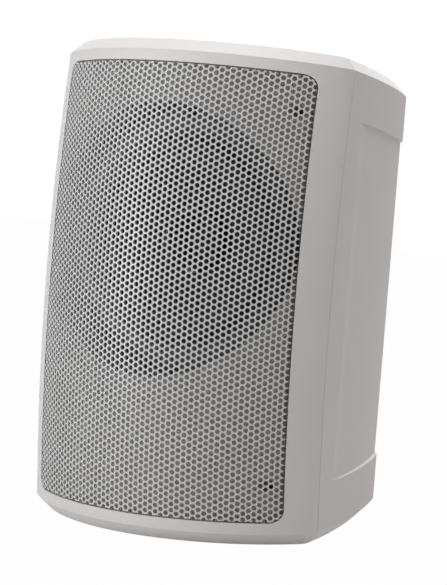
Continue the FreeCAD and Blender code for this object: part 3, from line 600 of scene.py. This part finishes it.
# %% Repeat the cells to a flat sheet
column_pairs = 30
rows = 73
weld_distance = 0.02 * MM
pair_mesh = bpy.data.meshes.new("perforation")
pair.to_mesh(pair_mesh)
pair.free()
flat = bpy.data.objects.new("flat_sheet", pair_mesh)
scene.collection.objects.link(flat)
repeats = (
    ("up", rows, (0, hole_pitch, 0)),
    ("across", column_pairs, (2 * column_step, 0, 0)))
for name, count, step in repeats:
    array = flat.modifiers.new(name, "ARRAY")
    array.count = count
    array.use_relative_offset = False
    array.use_constant_offset = True
    array.constant_offset_displace = step
bpy.context.view_layer.update()
flat_mesh = bpy.data.meshes.new_from_object(flat.evaluated_get(bpy.context.evaluated_depsgraph_get()))
bpy.data.objects.remove(flat)
sheet = bmesh.new()
sheet.from_mesh(flat_mesh)
bmesh.ops.remove_doubles(sheet, verts=sheet.verts, dist=weld_distance)
middle = Vector((column_pairs * column_step, (rows - 1) / 2 * hole_pitch, 0))
bmesh.ops.translate(sheet, verts=sheet.verts, vec=-middle)
print("flat sheet:", len(sheet.faces), "faces")

# %% [markdown]
# Pressing the sheet keeps lengths along its columns and rows: the distance from the middle becomes an
# arc, with a radius of 112 mm across and of 1 m upwards. The outline is then cut with planes. The top and
# bottom planes slope towards the rear as the cabinet does, and three short cuts round each corner.

# %% Press the sheet and cut its outline
for v in sheet.verts:
    a = v.co.x / across_radius
    b = v.co.y / bow_radius
    depth = across_radius * (1 - math.cos(a)) + bow_radius * (1 - math.cos(b))
    v.co = (across_radius * math.sin(a), front + depth, mid_height + bow_radius * math.sin(b))


def trim(point, normal):
    """Cuts away what lies on the normal's side of a plane."""
    everything = sheet.verts[:] + sheet.edges[:] + sheet.faces[:]
    bmesh.ops.bisect_plane(sheet, geom=everything, plane_co=point, plane_no=normal, clear_outer=True)


draft = math.tan(math.radians(4.0))
half_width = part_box("grille")[1].x
frame_gap = 13.8 * MM
edge_top = cad_high.z - frame_gap
corner_radius = 6.1 * MM
planes = []
for side in (-1, 1):
    planes.append((Vector((side * half_width, 0, 0)), Vector((side, 0, 0))))
for up_down in (-1, 1):
    point = Vector((0, front, mid_height + up_down * (edge_top - mid_height)))
    planes.append((point, Vector((0, draft, up_down)).normalized()))
    edge_depth = across_radius - math.sqrt(across_radius ** 2 - half_width ** 2)
    corner_z = point.z - up_down * (corner_radius + draft * edge_depth)
    for side in (-1, 1):
        corner = Vector((side * (half_width - corner_radius), front, corner_z))
        for degrees in (22.5, 45.0, 67.5):
            angle = math.radians(degrees)
            out = Vector((side * math.cos(angle), 0, up_down * math.sin(angle)))
            planes.append((corner + out * corner_radius, out))
for point, normal in planes:
    trim(point, normal)
print("cut sheet:", len(sheet.faces), "faces")

# %% [markdown]
# The fold: every free edge on the outline is extruded straight back. Edges of holes are free edges too,
# so the outline's own are picked by lying on one of the cutting planes. Solidify then gives the sheet its
# thickness, inwards, so that the front stays on the construction model's surface.

# %% Fold the rim and give the sheet its thickness
fold_depth = 4.6 * MM
on_plane = 0.01 * MM
outline = []
for e in sheet.edges:
    if len(e.link_faces) != 1:
        continue
    ends = [v.co for v in e.verts]
    if any(all(abs((c - point).dot(normal)) < on_plane for c in ends) for point, normal in planes):
        outline.append(e)
folded = bmesh.ops.extrude_edge_only(sheet, edges=outline)["geom"]
moved = [v for v in folded if isinstance(v, bmesh.types.BMVert)]
bmesh.ops.translate(sheet, verts=moved, vec=(0, fold_depth, 0))
bmesh.ops.recalc_face_normals(sheet, faces=sheet.faces)
front_face = min(sheet.faces, key=lambda f: f.calc_center_median().y)
if front_face.normal.y > 0:
    bmesh.ops.reverse_faces(sheet, faces=sheet.faces)
bmesh.ops.solidify(sheet, geom=sheet.faces[:], thickness=sheet_thickness)


def smooth_by_angle(shape, degrees):
    """Smooth shading, but sharp along edges that turn by more than an angle."""
    for f in shape.faces:
        f.smooth = True
    for e in shape.edges:
        e.smooth = e.is_manifold and e.calc_face_angle(0) < math.radians(degrees)


smooth_by_angle(sheet, 35)


def finished(name, shape, slot, body="cabinet_body"):
    """Makes an object of a bmesh, with its finish, riding on a body."""
    mesh = bpy.data.meshes.new(name)
    shape.to_mesh(mesh)
    shape.free()
    mesh.materials.append(finishes[slot])
    piece = bpy.data.objects.new(name, mesh)
    scene.collection.objects.link(piece)
    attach(piece, body)
    return piece


grille = finished("perforated_grille", sheet, "grille_paint")
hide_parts("grille")
triangles = sum(len(p.vertices) - 2 for p in grille.data.polygons)
print("grille:", triangles, "triangles")

# %% [markdown]
# Now the fasteners. A pan-head screw is a low dome with a cross-shaped recess, and a shank with ridges.
# The head starts as a small grid. Its outer points move onto a circle, five of its squares form the cross
# and are extruded inwards, and the free edge is drawn out loop by loop to the rim, the shank and the tip.
# The extrusion leaves the five squares where they were. They aren't deleted here, so they cover the
# recess.

# %% A screw with a cross recess
dome_fall = 0.4
cross_depth = 0.55
cross_taper = 0.75
core_share = 0.8
tip_share = 0.1


def drawn_out(shape, edges, radius, z):
    """Extrudes a loop of edges, and sets the new loop to a radius and a height."""
    made = bmesh.ops.extrude_edge_only(shape, edges=edges)["geom"]
    for v in made:
        if isinstance(v, bmesh.types.BMVert):
            flat = v.co.xy.normalized() * radius
            v.co = (flat.x, flat.y, z)
    return [e for e in made if isinstance(e, bmesh.types.BMEdge) and e.is_boundary]


def add_screw(shape, place, facing, turn, head, rise, shank, length):
    """Pan-head screw along Y, with its head's seat at place. The head faces -Y for facing -1, +Y for 1."""
    before = set(shape.verts)
    bmesh.ops.create_grid(shape, x_segments=5, y_segments=5, size=head)
    disc = [v for v in shape.verts if v not in before]
    for v in disc:
        on_rim = max(abs(v.co.x), abs(v.co.y)) > 0.9 * head
        v.co = v.co.normalized() * head if on_rim else v.co * 0.8
        v.co.z = rise * (1 - dome_fall * (v.co.xy.length / head) ** 2)
    rim = list({e for v in disc for e in v.link_edges if e.is_boundary})
    cross = []
    for f in {f for v in disc for f in v.link_faces}:
        x, y = [abs(c) / head for c in f.calc_center_median().xy]
        if min(x, y) < 0.1 and max(x, y) < 0.5:
            cross.append(f)
    # The faces in cross stay in place, above the extruded ones
    sunk = bmesh.ops.extrude_face_region(shape, geom=cross)["geom"]
    floor_of_cross = [v for v in sunk if isinstance(v, bmesh.types.BMVert)]
    bmesh.ops.translate(shape, verts=floor_of_cross, vec=(0, 0, -cross_depth * rise))
    bmesh.ops.scale(shape, verts=floor_of_cross, vec=(cross_taper, cross_taper, 1))
    edges = drawn_out(shape, rim, head, 0)
    core = core_share * shank
    pitch = core
    edges = drawn_out(shape, edges, core, 0)
    z = 0
    while z > 2 * shank - length:
        edges = drawn_out(shape, edges, shank, z - pitch / 2)
        z -= pitch
        edges = drawn_out(shape, edges, core, z)
    edges = drawn_out(shape, edges, tip_share * shank, -length)
    bmesh.ops.contextual_create(shape, geom=edges)
    spot = Matrix.Rotation(-facing * math.pi / 2, 4, "X") @ Matrix.Rotation(turn, 4, "Z")
    added = [v for v in shape.verts if v not in before]
    bmesh.ops.transform(shape, matrix=Matrix.Translation(place) @ spot, verts=added)


print("depth of the cross:", cross_depth, "of the head's rise")

# %% [markdown]
# Four sets of screws hold the speaker together: the front moulding, the driver, the terminal panel and
# the circuit board. Their seats are read from the construction model, and each screw stops at a different
# turn, as real ones do.

# %% Place the screws
turn_step = 0.7


def corners(node, head):
    """The four places of a rectangular set of screws, as (x, z)."""
    low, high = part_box(node)
    return [(x, z) for x in (low.x + head, high.x - head) for z in (low.z + head, high.z - head)]


def ring(node, head, count):
    """The places of a set of screws on a circle, with one at the top."""
    low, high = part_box(node)
    radius = (high.z - low.z) / 2 - head
    middle = (high.z + low.z) / 2
    angles = [math.radians(90 + 360 * i / count) for i in range(count)]
    return [(radius * math.cos(a), middle + radius * math.sin(a)) for a in angles]


def screw_set(node, slot, facing, places, head, rise, shank):
    """One piece with all the screws of a node. Head and shank are radii."""
    low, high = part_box(node)
    seat = low.y + rise if facing < 0 else high.y - rise
    length = high.y - seat if facing < 0 else seat - low.y
    shape = bmesh.new()
    for i, (x, z) in enumerate(places):
        add_screw(shape, Vector((x, seat, z)), facing, turn_step * i, head, rise, shank, length)
    bmesh.ops.recalc_face_normals(shape, faces=shape.faces)
    smooth_by_angle(shape, 40)
    piece = finished("cross_" + node, shape, slot)
    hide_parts(node)
    print(piece.name, len(piece.data.polygons), "faces")


# Node, finish, the side that the head faces, radius of the head, its rise, radius of the shank
screw_sizes = (
    ("baffle_screws", "black_screw", -1, 3.3 * MM, 2.4 * MM, 1.8 * MM),
    ("driver_screws", "black_screw", -1, 3.2 * MM, 2.2 * MM, 1.7 * MM),
    ("panel_screws", "screw_steel", 1, 2.8 * MM, 2.0 * MM, 1.4 * MM),
    ("board_screws", "screw_steel", -1, 2.6 * MM, 1.8 * MM, 1.3 * MM))
driver_screw_count = 6
for node, slot, facing, head, rise, shank in screw_sizes:
    if node == "driver_screws":
        places = ring(node, head, driver_screw_count)
    else:
        places = corners(node, head)
    screw_set(node, slot, facing, places, head, rise, shank)

# %% [markdown]
# The threaded brass inserts take the screws of a bracket or a yoke. Each is one profile, spun full
# circle: a chamfered mouth, and a row of ridges down the bore. The profile is written in millimetres.

# %% Threaded inserts
insert_outer = 4.5
insert_minor = 2.5
insert_major = 2.95
insert_length = 12.0
insert_chamfer = 0.5
mouth_radius = insert_major + 0.2
ridges = 11


def add_insert(shape, mouth, out):
    """Brass insert that opens at mouth towards the direction out."""
    profile = [
        (insert_outer, -insert_length),
        (insert_outer, -insert_chamfer),
        (insert_outer - insert_chamfer, 0),
        (mouth_radius, 0)]
    for k in range(ridges):
        profile += [(insert_minor, -0.65 - k), (insert_minor, -0.8 - k)]
        profile += [(insert_major, -1.15 - k), (insert_major, -1.3 - k)]
    profile.append((insert_minor, -insert_length))
    verts = [shape.verts.new((r * MM, 0, z * MM)) for r, z in profile]
    edges = [shape.edges.new((verts[i - 1], verts[i])) for i in range(len(verts))]
    before = set(shape.verts) - set(verts)
    bmesh.ops.spin(
        shape, geom=verts + edges, cent=(0, 0, 0), axis=(0, 0, 1),
        angle=2 * math.pi, steps=24, use_merge=True)
    spot = Matrix.Translation(mouth) @ out.to_track_quat("Z", "Y").to_matrix().to_4x4()
    bmesh.ops.transform(shape, matrix=spot, verts=[v for v in shape.verts if v not in before])


def insert_set(node, mouths):
    """One piece with all the inserts of a node."""
    shape = bmesh.new()
    for mouth, out in mouths:
        add_insert(shape, mouth, out)
    bmesh.ops.recalc_face_normals(shape, faces=shape.faces)
    smooth_by_angle(shape, 30)
    piece = finished("threaded_" + node, shape, "insert_brass")
    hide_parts(node)
    print(piece.name, len(piece.data.polygons), "faces")


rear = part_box("bracket_inserts")[1].y
insert_set("bracket_inserts", [
    (Vector((x, rear, z)), Vector((0, 1, 0))) for x, z in corners("bracket_inserts", insert_outer * MM)])
yoke_low, yoke_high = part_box("yoke_inserts")
yoke_y = (yoke_low.y + yoke_high.y) / 2
yoke_x = yoke_high.x - insert_outer * MM
insert_set("yoke_inserts", [
    (Vector((x, yoke_y, z)), Vector((0, 0, up)))
    for x in (-yoke_x, yoke_x) for z, up in ((yoke_low.z, -1), (yoke_high.z, 1))])

# %% [markdown]
# The tap selector is set with a fingertip in a dim corner, so the panel carries a printed tick for each
# position, and the knob a pale line on its pointer. Print has hardly any thickness: each mark is a square
# of one face, stretched, and lifted by a tenth of a millimetre so that it has an edge.

# %% Selector marks
knob_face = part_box("selector_knob")[1].y
turn_joint = [j for j in frame["record"]["behaviour"]["joints"] if j["name"] == "tap_selector_turn"][0]
knob_x = turn_joint["pos_m"][0]
knob_z = turn_joint["pos_m"][2]
panel_thickness = 3.0 * MM
panel_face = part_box("panel_gasket")[1].y + panel_thickness
ink = 0.1 * MM


def add_mark(shape, x, y, z, width, length, turn):
    """Flat printed bar on a surface at y, turned about the line of sight."""
    upright = Matrix.Rotation(turn, 4, "Y") @ Matrix.Rotation(-math.pi / 2, 4, "X")
    spot = Matrix.Translation((x, y, z)) @ upright @ Matrix.Diagonal((width, length, 1, 1))
    face = bmesh.ops.create_grid(shape, x_segments=1, y_segments=1, size=0.5, matrix=spot)
    faces = {f for v in face["verts"] for f in v.link_faces}
    lifted = bmesh.ops.extrude_face_region(shape, geom=list(faces))["geom"]
    top = [v for v in lifted if isinstance(v, bmesh.types.BMVert)]
    bmesh.ops.translate(shape, verts=top, vec=(0, ink, 0))


tick_reach = 12.4 * MM
tick_width = 0.8 * MM
tick_length = 2.6 * MM
tick_turn = 45
ticks = bmesh.new()
for step in range(-3, 4):
    a = math.radians(tick_turn * step)
    tick_x = knob_x + tick_reach * math.sin(a)
    tick_z = knob_z + tick_reach * math.cos(a)
    add_mark(ticks, tick_x, panel_face, tick_z, tick_width, tick_length, a)
bmesh.ops.recalc_face_normals(ticks, faces=ticks.faces)
finished("selector_ticks", ticks, "cabinet_plastic")

line_reach = 5.2 * MM
line_width = 1.0 * MM
line_length = 6.4 * MM
pointer = bmesh.new()
add_mark(pointer, knob_x, knob_face, knob_z + line_reach, line_width, line_length, 0)
bmesh.ops.recalc_face_normals(pointer, faces=pointer.faces)
finished("knob_pointer_line", pointer, "cabinet_plastic", "selector_body")
print("seven ticks and a pointer line")

# %% [markdown]
# The damping pad on the rear wall is a mat of loose fibre, so it swells between its edges and has no flat
# faces. It starts as a grid with four openings for the insert bosses, is drawn out to its thickness, and
# a slow noise lifts the face that looks into the cabinet. Its rim stays thinner, as cut wadding does.

# %% Damping pad
pad_low, pad_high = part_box("damping_pad")
pad_middle = (pad_low + pad_high) / 2
pad_size = pad_high - pad_low
pad = bmesh.new()
spot = Matrix.Translation((pad_middle.x, pad_high.y, pad_middle.z)) @ Matrix.Rotation(math.pi / 2, 4, "X")
stretch = Matrix.Diagonal((pad_size.x, pad_size.z, 1, 1))
bmesh.ops.create_grid(pad, x_segments=26, y_segments=31, size=0.5, matrix=spot @ stretch)
boss_room = 10.5 * MM
bosses = corners("bracket_inserts", insert_outer * MM)
at_boss = []
for f in pad.faces:
    c = f.calc_center_median()
    if any(math.hypot(c.x - x, c.z - z) < boss_room for x, z in bosses):
        at_boss.append(f)
bmesh.ops.delete(pad, geom=at_boss, context="FACES")
drawn = bmesh.ops.extrude_face_region(pad, geom=pad.faces[:])["geom"]
crown = [v for v in drawn if isinstance(v, bmesh.types.BMVert)]
on_rim = {v for v in crown if any(abs(f.normal.y) < 0.5 for f in v.link_faces)}
mean_swell = 0.82
swell_change = 0.16
tuft_size = 14 * MM
rim_share = 0.6
for v in crown:
    swell = mean_swell + swell_change * noise.noise(v.co / tuft_size)
    v.co.y -= pad_size.y * (rim_share * swell if v in on_rim else swell)
bmesh.ops.recalc_face_normals(pad, faces=pad.faces)
for f in pad.faces:
    f.smooth = True
wadding = finished("damping_wadding", pad, "wadding")
soft = wadding.modifiers.new("soft", "SUBSURF")
soft.levels = soft.render_levels = 1
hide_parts("damping_pad")
print("wadding:", len(wadding.data.polygons), "faces")

# %% [markdown]
# The finished model has to keep the construction model's size. Both boxes are written down for
# comparison.
